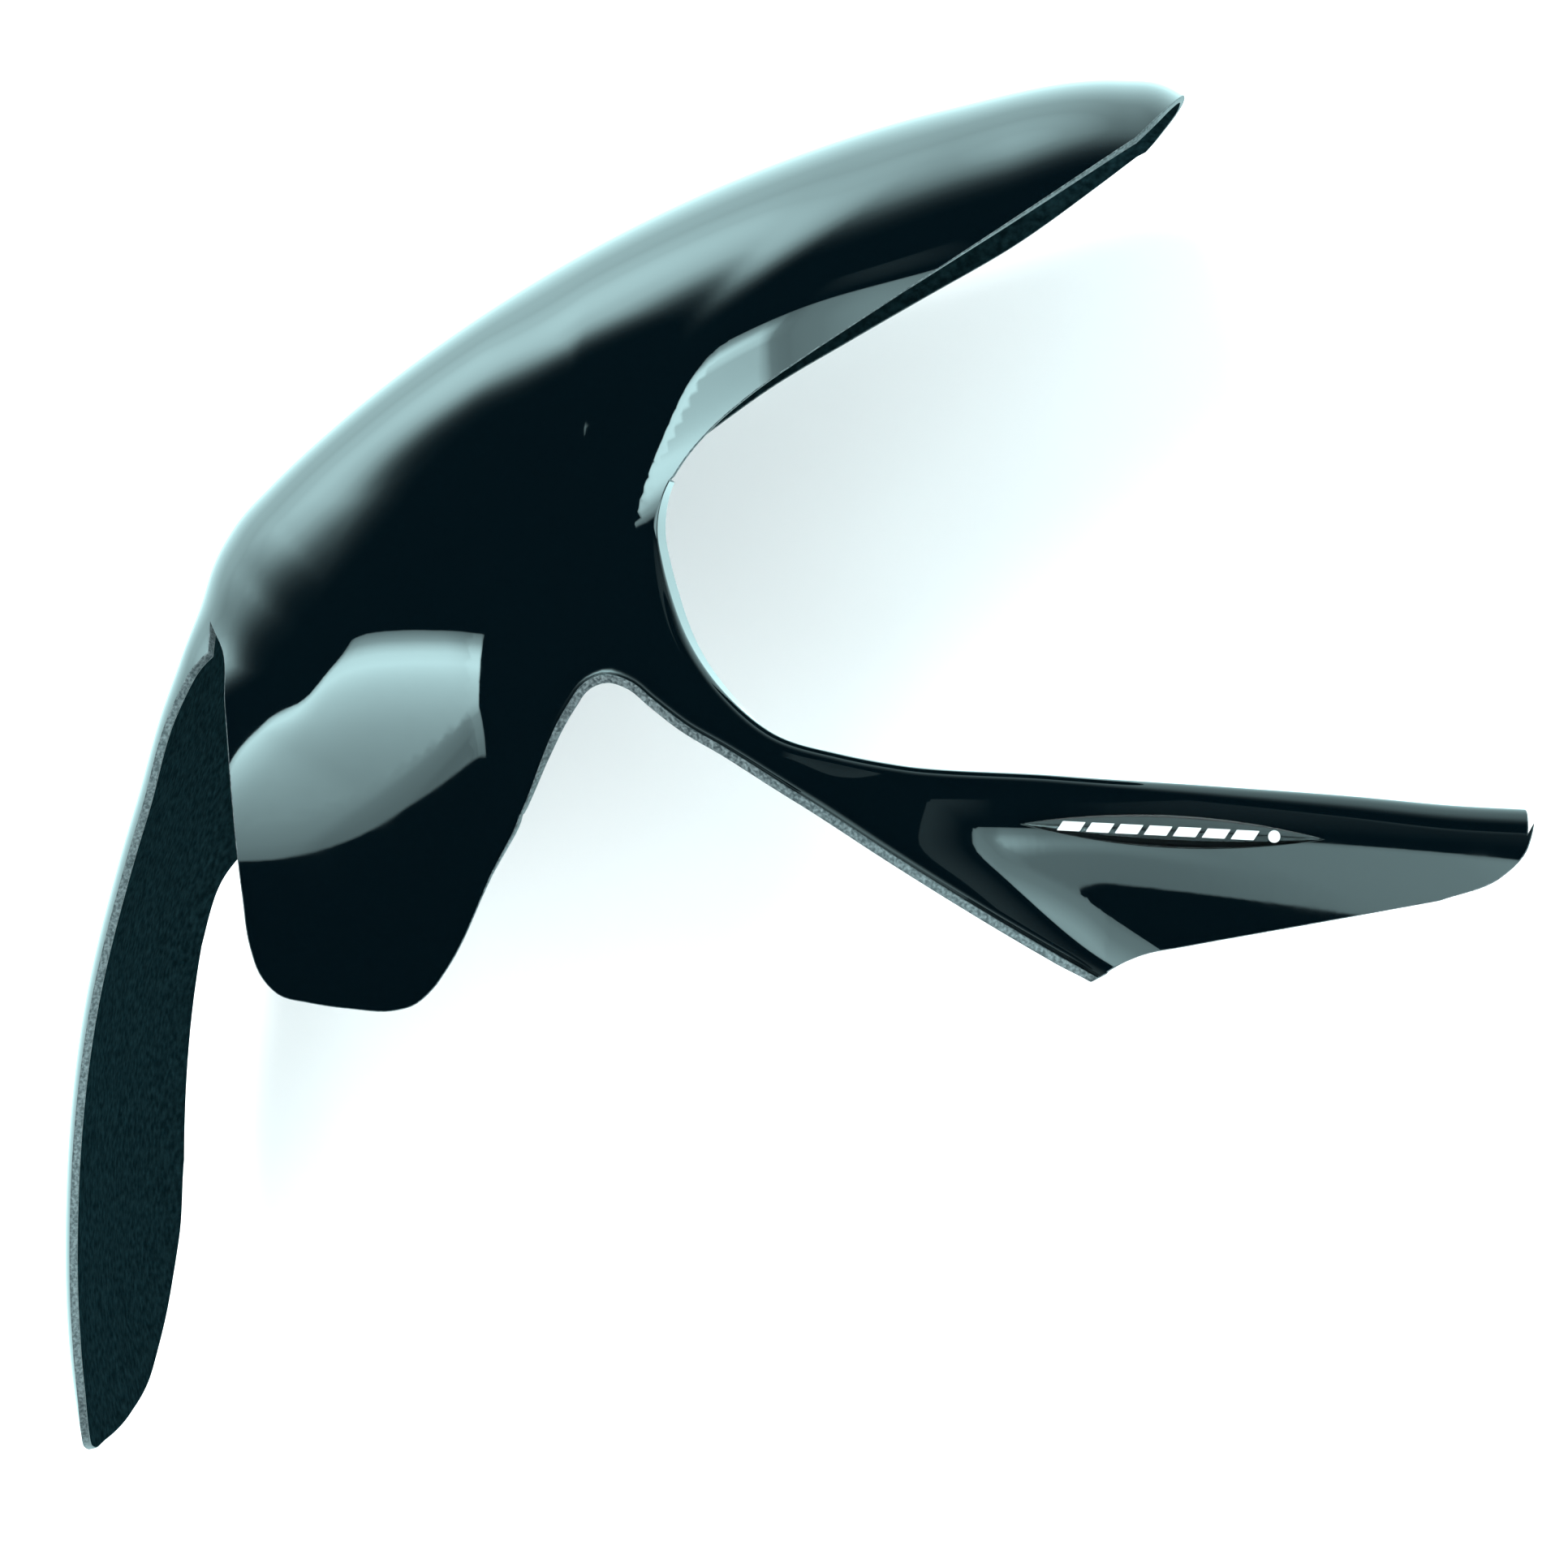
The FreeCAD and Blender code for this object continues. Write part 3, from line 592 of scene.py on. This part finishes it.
def build_skin():
    loop, (roll_start, roll_end, roll), (lip_start, lip_end, lip) = outline_of_skin()
    outline = [to_pattern(*p) for p in loop]
    skin = Skin()
    vertices, faces, originals = pattern_triangles(outline)
    index_of = {}
    for i, (vertex, sources) in enumerate(zip(vertices, originals)):
        for source in sources:
            index_of[source] = i
        angle, side = from_pattern(vertex.x, vertex.y)
        skin.add(skin_point(angle, side), skin_normal(angle, side))
    for face in faces:
        skin.faces.append(tuple(face))

    def roll_rows(i, j):
        outline_point, leave, radius = roll[i]
        start, normal = skin.points[j], skin.normals[j]
        step = bend_direction(leave, outline_point)
        side_way = step - normal * step.dot(normal)
        length = side_way.length
        side_way = side_way.normalized()
        rows = []
        for k in range(1, ROLL_STEPS + 1):
            turn = pi / 2 * k / ROLL_STEPS
            point = start + side_way * length * sin(turn) - normal * radius * (1 - cos(turn))
            rows.append((point, (normal * cos(turn) + side_way * sin(turn)).normalized()))
        last = rows[-1][0]
        deepest = min(FLANGE_DEPTH, -start.y - FLANGE_LIMIT)
        flange = max(FLANGE_LEAST - radius, deepest - radius, FLANGE_FLAT)
        for k in range(1, FLANGE_STEPS + 1):
            rows.append((last - normal * flange * k / FLANGE_STEPS, side_way))
        return rows

    def lip_rows(i, j):
        outline_point, leave, full_turn = lip[i]
        start, normal = skin.points[j], skin.normals[j]
        step = bend_direction(leave, outline_point)
        side_way = step - normal * step.dot(normal)
        radius = side_way.length / sin(full_turn) * LIP_RADIUS / (LIP_RADIUS + SHEET)
        side_way = side_way.normalized()
        rows = []
        for k in range(1, LIP_STEPS + 1):
            turn = full_turn * k / LIP_STEPS
            point = start + side_way * radius * sin(turn) + normal * radius * (1 - cos(turn))
            rows.append((point, (normal * cos(turn) - side_way * sin(turn)).normalized()))
        return rows

    add_strip(skin, roll_rows, [index_of[i] for i in range(roll_start, roll_end)])
    add_strip(skin, lip_rows, [index_of[i] for i in range(lip_start, lip_end)])
    return skin


def oriented(skin):
    """Faces wound so that they face the way that their normals do."""
    faces = []
    for face in skin.faces:
        a, b, c = (skin.points[i] for i in face[:3])
        mean = skin.normals[face[0]] + skin.normals[face[1]] + skin.normals[face[2]]
        faces.append(face if (b - a).cross(c - a).dot(mean) > 0 else face[::-1])
    return faces


def border_edges(faces):
    """Directed edges that only one face has."""
    directed = set()
    for face in faces:
        for a, b in zip(face, face[1:] + face[:1]):
            directed.add((a, b))
    return [(a, b) for a, b in directed if (b, a) not in directed]


def thicken(skin, name, materials):
    """The sheet: outer skin, inner skin one sheet in, and a softly rounded cut edge."""
    outer_faces = oriented(skin)
    count = len(skin.points)
    points = list(skin.points) + [p - n * SHEET for p, n in zip(skin.points, skin.normals)]
    normals = list(skin.normals) + [-n for n in skin.normals]
    faces = list(outer_faces) + [tuple(i + count for i in face[::-1]) for face in outer_faces]
    kinds = [OUTSIDE] * len(outer_faces) + [INSIDE] * len(outer_faces)
    border = sorted(border_edges(outer_faces))
    outward = {}
    for a, b in border:
        along = skin.points[b] - skin.points[a]
        for i in (a, b):
            way = along.cross(skin.normals[i])
            outward[i] = outward.get(i, Vector((0, 0, 0))) + way.normalized()
    levels = {}
    for i, way in sorted(outward.items()):
        way = way.normalized()
        normal = skin.normals[i]
        ring = [i]
        for depth in (EDGE_ROUND, SHEET - EDGE_ROUND):
            points.append(skin.points[i] + way * EDGE_ROUND - normal * depth)
            normals.append(way)
            ring.append(len(points) - 1)
        ring.append(i + count)
        levels[i] = ring
    for a, b in border:
        for k in range(3):
            faces.append((levels[b][k], levels[a][k], levels[a][k + 1], levels[b][k + 1]))
            kinds.append(CUT)
    mesh = bpy.data.meshes.new(name)
    mesh.from_pydata([p * MM for p in points], [], faces)
    for polygon, kind in zip(mesh.polygons, kinds):
        polygon.material_index = kind
        polygon.use_smooth = True
    for material in materials:
        mesh.materials.append(material)
    mesh.normals_split_custom_set_from_vertices([tuple(n) for n in normals])
    piece = bpy.data.objects.new(name, mesh)
    bpy.context.scene.collection.objects.link(piece)
    return piece


# ---------------------------------------------------------------- materials
def new_material(name):
    material = bpy.data.materials.new(name)
    material.use_nodes = True
    nodes = material.node_tree.nodes
    shader = nodes["Principled BSDF"]
    return material, nodes, material.node_tree.links, shader


def noise(nodes, links, scale, detail, coordinates):
    node = nodes.new("ShaderNodeTexNoise")
    node.inputs["Scale"].default_value = scale
    node.inputs["Detail"].default_value = detail
    links.new(coordinates, node.inputs["Vector"])
    return node.outputs["Fac"]


def ramp_colours(nodes, links, source, stops):
    """Colours or greys along a source between 0 and 1, from (place, colour or grey) stops."""
    node = nodes.new("ShaderNodeValToRGB")
    while len(node.color_ramp.elements) < len(stops):
        node.color_ramp.elements.new(0.5)
    for element, (place, value) in zip(node.color_ramp.elements, stops):
        element.position = place
        element.color = (*value, 1) if isinstance(value, tuple) else (value, value, value, 1)
    links.new(source, node.inputs["Fac"])
    return node.outputs["Color"]


def map_range(nodes, links, source, low, high):
    """The source's low to high, as 0 to 1."""
    node = nodes.new("ShaderNodeMapRange")
    node.inputs["From Min"].default_value = low
    node.inputs["From Max"].default_value = high
    links.new(source, node.inputs["Value"])
    return node.outputs["Result"]


def mix(nodes, links, factor, first, second):
    """From first to second, each a colour or a socket, on the Mix node's colour sockets."""
    node = nodes.new("ShaderNodeMix")
    node.data_type = "RGBA"
    node.clamp_factor = False
    links.new(factor, node.inputs["Factor"])
    for socket, value in ((node.inputs[6], first), (node.inputs[7], second)):
        if isinstance(value, tuple):
            socket.default_value = value
        else:
            links.new(value, socket)
    return node.outputs[2]


def object_coordinates(nodes):
    return nodes.new("ShaderNodeTexCoord").outputs["Object"]


def gloss_black():
    material, nodes, links, shader = new_material("gloss black ABS")
    place = object_coordinates(nodes)
    shader.inputs["Base Color"].default_value = (0.0004, 0.0016, 0.0024, 1)
    shader.inputs["IOR"].default_value = 1.52
    dust = ramp_colours(nodes, links, noise(nodes, links, 60, 6, place), [(0.45, 0.02), (0.8, 0.07)])
    links.new(dust, shader.inputs["Roughness"])
    return material


def matt_inside():
    material, nodes, links, shader = new_material("grained matt ABS")
    place = object_coordinates(nodes)
    dark, light = (0.0015, 0.006, 0.0075), (0.006, 0.018, 0.0215)
    speck = ramp_colours(nodes, links, noise(nodes, links, 420, 8, place), [(0.35, dark), (0.72, light)])
    links.new(speck, shader.inputs["Base Color"])
    shader.inputs["Roughness"].default_value = 0.7
    shader.inputs["Specular IOR Level"].default_value = 0.0
    bump = nodes.new("ShaderNodeBump")
    bump.inputs["Strength"].default_value = 0.35
    bump.inputs["Distance"].default_value = 0.0004
    links.new(noise(nodes, links, 900, 4, place), bump.inputs["Height"])
    links.new(bump.outputs["Normal"], shader.inputs["Normal"])
    return material


def cut_edge():
    material, nodes, links, shader = new_material("sawn edge of the sheet")
    place = object_coordinates(nodes)
    dark, light = (0.012, 0.02, 0.023), (0.1, 0.13, 0.135)
    speck = ramp_colours(nodes, links, noise(nodes, links, 1200, 6, place), [(0.38, dark), (0.7, light)])
    links.new(speck, shader.inputs["Base Color"])
    shader.inputs["Roughness"].default_value = 0.45
    return material


def adhesive_foam():
    material, nodes, links, shader = new_material("adhesive foam")
    grain = noise(nodes, links, 1500, 4, object_coordinates(nodes))
    colour = ramp_colours(nodes, links, grain, [(0.3, 0.004), (0.7, 0.012)])
    links.new(colour, shader.inputs["Base Color"])
    shader.inputs["Roughness"].default_value = 0.9
    return material


def badge_black():
    material, nodes, links, shader = new_material("badge black")
    grain = noise(nodes, links, 300, 4, object_coordinates(nodes))
    links.new(ramp_colours(nodes, links, grain, [(0.4, 0.05), (0.7, 0.12)]), shader.inputs["Roughness"])
    shader.inputs["Base Color"].default_value = (0.001, 0.002, 0.0025, 1)
    return material


def badge_white():
    material, nodes, links, shader = new_material("badge white print")
    grain = noise(nodes, links, 2500, 3, object_coordinates(nodes))
    links.new(ramp_colours(nodes, links, grain, [(0.3, 0.84), (0.7, 0.93)]), shader.inputs["Base Color"])
    shader.inputs["Roughness"].default_value = 0.5
    return material


def clear_resin():
    material, nodes, links, shader = new_material("clear resin")
    grain = noise(nodes, links, 200, 3, object_coordinates(nodes))
    links.new(ramp_colours(nodes, links, grain, [(0.4, 0.0), (0.8, 0.03)]), shader.inputs["Roughness"])
    shader.inputs["Transmission Weight"].default_value = 1.0
    shader.inputs["IOR"].default_value = 1.3
    return material


# ---------------------------------------------------------------- pieces
def build_moulding():
    piece = thicken(build_skin(), "hugger_sheet", [gloss_black(), matt_inside(), cut_edge()])
    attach(piece, "root")
    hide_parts("hugger_moulding")
    return piece


def wall_y(x, z):
    """The left wall's outer skin, seen at x, z."""
    return -HALF_WIDTH - stand_out(degrees(atan2(z, x)), hypot(x, z))


def badge_to_guard():
    """From the badge's own plane, outward -Y, to the guard's face."""
    rise = (wall_y(BADGE_X, BADGE_Z + 1) - wall_y(BADGE_X, BADGE_Z - 1)) / 2
    run = (wall_y(BADGE_X + 1, BADGE_Z) - wall_y(BADGE_X - 1, BADGE_Z)) / 2
    centre = Vector((BADGE_X, wall_y(BADGE_X, BADGE_Z), BADGE_Z))
    turn = Matrix.Rotation(atan2(run, 1), 4, "Z") @ Matrix.Rotation(-atan2(rise, 1), 4, "X")
    return Matrix.Translation(centre) @ turn @ Matrix.Rotation(radians(BADGE_TILT), 4, "Y")


def build_badge_dome():
    """The clear cap over the plate: half-ellipse sections across a lens-shaped outline."""
    half_length = BADGE_LENGTH / 2
    rise = BADGE_HEIGHT / 2
    arc_radius = (half_length ** 2 + rise ** 2) / (2 * rise)
    place = badge_to_guard()
    columns = 96
    rows = 20
    points = []
    for i in range(columns + 1):
        x = half_length * DOME_REACH * (2 * i / columns - 1)
        half = sqrt(arc_radius ** 2 - x * x) - (arc_radius - rise)
        for j in range(rows + 1):
            turn = pi * j / rows
            out = DOME_BASE + DOME_HEIGHT * half / rise * sin(turn)
            points.append(place @ Vector((x, -out, -half * cos(turn))) * MM)
    faces = []
    for i in range(columns):
        for j in range(rows):
            k = i * (rows + 1) + j
            faces.append((k, k + rows + 1, k + rows + 2, k + 1))
    mesh = bpy.data.meshes.new("badge_cap")
    mesh.from_pydata(points, [], faces)
    mesh.materials.append(clear_resin())
    for polygon in mesh.polygons:
        polygon.use_smooth = True
    cap = bpy.data.objects.new("badge_cap", mesh)
    bpy.context.scene.collection.objects.link(cap)
    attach(cap, "root")
    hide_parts("badge_dome")


def finish_badge():
    """Materials of the badge's other pieces, which are shown as they were packed."""
    white = badge_white()
    looks = {"badge_pad": adhesive_foam(), "badge_plate": badge_black(), "badge_dot": white}
    for number in range(1, BAR_COUNT + 1):
        looks[f"badge_bar_{number}"] = white
    for name, material in looks.items():
        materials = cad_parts[name].data.materials
        materials.clear()
        materials.append(material)


# ---------------------------------------------------------------- studio
# Metres from here on.
LENS_MM = 111.8
SENSOR_MM = 36
FARTHEST_SEEN = 50
CAMERA_PLACE = (-0.0294, -1.5, 0.273)
CAMERA_DOWN = 5.266          # degrees below level
CAMERA_TURN = 3.836          # degrees towards the front

FLOOR_Z = -0.13
BACKDROP_Y = 0.112
STAGE_HALF = 3
STAGE_FRONT = -4
STAGE_TOP = 3

LAMP_SIZE = 1.8
LAMP_WATTS = 130
LAMP_PLACE = (-1.1, -2.0, 1.5)
LAMP_TARGET = (-0.1, 0, 0.15)

# What glossy surfaces see around them: a sheet of light above and behind, lamps in front.
SHEET_WAY = (-0.6, 0.25, 0.77)      # the sheet is brightest along this
SIDEWAYS_FROM = 0.7                 # and dims past this much to either side
SIDEWAYS_SHIFT = 1.2
SIDEWAYS_DIMMING = 2.2
REFLECTED_STRENGTH = 4.0
BLACK = (0, 0, 0, 1)
WHITE = (1, 1, 1, 1)
REFLECTED_TINT = (0.64, 0.97, 1.0, 1)
FILL_TINT = (0.8, 0.97, 1.0, 1)


def build_camera():
    data = bpy.data.cameras.new("camera")
    data.lens = LENS_MM
    data.sensor_width = SENSOR_MM
    data.clip_end = FARTHEST_SEEN
    camera = bpy.data.objects.new("camera", data)
    camera.location = CAMERA_PLACE
    camera.rotation_euler = (radians(90 - CAMERA_DOWN), 0, radians(CAMERA_TURN))
    bpy.context.scene.collection.objects.link(camera)
    bpy.context.scene.camera = camera


def build_world():
    """White to the camera, soft white to matt surfaces, and the studio's lamps to glossy ones."""
    world = bpy.data.worlds.new("studio")
    bpy.context.scene.world = world
    world.use_nodes = True
    nodes, links = world.node_tree.nodes, world.node_tree.links

    def maths(operation, *values):
        node = nodes.new("ShaderNodeMath")
        node.operation = operation
        for socket, value in zip(node.inputs, values):
            if isinstance(value, (int, float)):
                socket.default_value = value
            else:
                links.new(value, socket)
        return node.outputs[0]

    def steps(source, low, high, stops):
        placed = [((at - low) / (high - low), value) for at, value in stops]
        return ramp_colours(nodes, links, map_range(nodes, links, source, low, high), placed)

    direction = nodes.new("ShaderNodeTexCoord").outputs["Generated"]
    separate = nodes.new("ShaderNodeSeparateXYZ")
    links.new(direction, separate.inputs[0])
    across, depth, height = separate.outputs
    parts = [maths("MULTIPLY", part, way) for part, way in zip(separate.outputs, SHEET_WAY)]
    towards = maths("ADD", maths("ADD", parts[0], parts[1]), parts[2])
    overhead = steps(towards, 0.0, 1.0, [
        (0.0, 0.5), (0.5, 0.45), (0.75, 0.45), (0.85, 0.6), (0.93, 1.0), (1.0, 1.8),
    ])
    sideways = maths("MAXIMUM", maths("SUBTRACT", maths("ABSOLUTE", across), SIDEWAYS_FROM), 0.0)
    behind = maths("SUBTRACT", depth, maths("MULTIPLY", sideways, SIDEWAYS_SHIFT))
    reach = steps(behind, -0.5, 0.2, [
        (-0.5, 0.0), (-0.38, 0.05), (-0.25, 0.2), (-0.12, 0.5), (0.0, 0.8), (0.15, 1.0),
    ])
    end_dimming = maths("SUBTRACT", 1.0, maths("MULTIPLY", sideways, SIDEWAYS_DIMMING))
    sheet = maths("MULTIPLY", maths("MULTIPLY", overhead, reach), end_dimming)

    # In front: a bright window on the left, a wide card on the right, and the dim room above the card.
    window = steps(height, -0.5, 0.5, [
        (-0.245, 0.0), (-0.24, 0.8), (-0.19, 1.05), (-0.12, 1.25), (-0.085, 1.4), (-0.065, 2.0),
        (-0.045, 2.7), (-0.01, 3.6), (0.03, 4.6), (0.08, 4.2), (0.12, 3.1), (0.16, 1.8), (0.2, 1.2),
        (0.22, 0.9), (0.225, 0.0),
    ])
    window_across = steps(across, -0.5, 0.5, [
        (-0.28, 0.0), (-0.275, 0.6), (-0.25, 1.0), (-0.13, 1.0), (-0.03, 0.12), (0.04, 0.0),
    ])
    card = steps(height, -0.5, 0.5, [
        (-0.245, 0.0), (-0.24, 1.0), (0.2, 1.0), (0.22, 0.8), (0.225, 0.0),
    ])
    card_across = steps(across, -0.5, 0.5, [
        (-0.11, 0.0), (-0.05, 0.5), (0.0, 0.62), (0.05, 0.9), (0.13, 1.0), (0.2, 1.3), (0.3, 1.75),
        (0.49, 1.75),
    ])
    room = steps(height, 0.2, 0.6, [(0.28, 0.0), (0.47, 0.11), (0.5, 0.11), (0.505, 0.0)])
    room_across = steps(across, -0.5, 0.5, [(-0.02, 0.0), (0.12, 1.0), (0.49, 1.0)])
    ahead = maths("LESS_THAN", depth, 0.0)
    lit_window = maths("MULTIPLY", window, window_across)
    lit_card = maths("MULTIPLY", card, card_across)
    lit_room = maths("MULTIPLY", room, room_across)
    front = maths("ADD", maths("ADD", lit_window, lit_card), lit_room)
    brightness = maths("ADD", sheet, maths("MULTIPLY", front, ahead))
    strength = maths("MULTIPLY", brightness, REFLECTED_STRENGTH)
    lamps = mix(nodes, links, strength, BLACK, REFLECTED_TINT)
    path = nodes.new("ShaderNodeLightPath")
    seen = mix(nodes, links, path.outputs["Is Camera Ray"], lamps, WHITE)
    lit = mix(nodes, links, path.outputs["Is Diffuse Ray"], seen, FILL_TINT)
    links.new(lit, nodes["Background"].inputs["Color"])


def one_sided_white(name):
    """White seen from the front, and not there from behind."""
    material, nodes, links, shader = new_material(name)
    tone = noise(nodes, links, 3, 2, object_coordinates(nodes))
    links.new(ramp_colours(nodes, links, tone, [(0.3, 0.86), (0.7, 0.9)]), shader.inputs["Base Color"])
    shader.inputs["Roughness"].default_value = 1.0
    shader.inputs["Specular IOR Level"].default_value = 0.0
    clear = nodes.new("ShaderNodeBsdfTransparent")
    choice = nodes.new("ShaderNodeMixShader")
    links.new(nodes.new("ShaderNodeNewGeometry").outputs["Backfacing"], choice.inputs["Fac"])
    links.new(shader.outputs[0], choice.inputs[1])
    links.new(clear.outputs[0], choice.inputs[2])
    links.new(choice.outputs[0], nodes["Material Output"].inputs["Surface"])
    return material


def build_plane(name, corners):
    """A white sheet of the stage, which glossy surfaces don't see."""
    mesh = bpy.data.meshes.new(name)
    mesh.from_pydata(corners, [], [(0, 1, 2, 3)])
    mesh.materials.append(one_sided_white(name))
    plane = bpy.data.objects.new(name, mesh)
    plane.visible_glossy = False
    bpy.context.scene.collection.objects.link(plane)


def build_stage():
    foot_left = (-STAGE_HALF, BACKDROP_Y, FLOOR_Z)
    foot_right = (STAGE_HALF, BACKDROP_Y, FLOOR_Z)
    build_plane("floor", [
        (-STAGE_HALF, STAGE_FRONT, FLOOR_Z), (STAGE_HALF, STAGE_FRONT, FLOOR_Z), foot_right, foot_left,
    ])
    build_plane("backdrop", [
        foot_left, foot_right, (STAGE_HALF, BACKDROP_Y, STAGE_TOP), (-STAGE_HALF, BACKDROP_Y, STAGE_TOP),
    ])


def build_lamp():
    data = bpy.data.lights.new("soft lamp", "AREA")
    data.shape = "DISK"
    data.size = LAMP_SIZE
    data.energy = LAMP_WATTS
    lamp = bpy.data.objects.new("soft lamp", data)
    lamp.location = LAMP_PLACE
    way = Vector(LAMP_TARGET) - lamp.location
    lamp.rotation_euler = way.to_track_quat("-Z", "Y").to_euler()
    lamp.visible_camera = False
    lamp.visible_glossy = False
    bpy.context.scene.collection.objects.link(lamp)


build_camera()
build_world()
build_stage()
build_lamp()
build_badge_dome()
finish_badge()
build_moulding()
bpy.context.scene.view_settings.view_transform = "Standard"
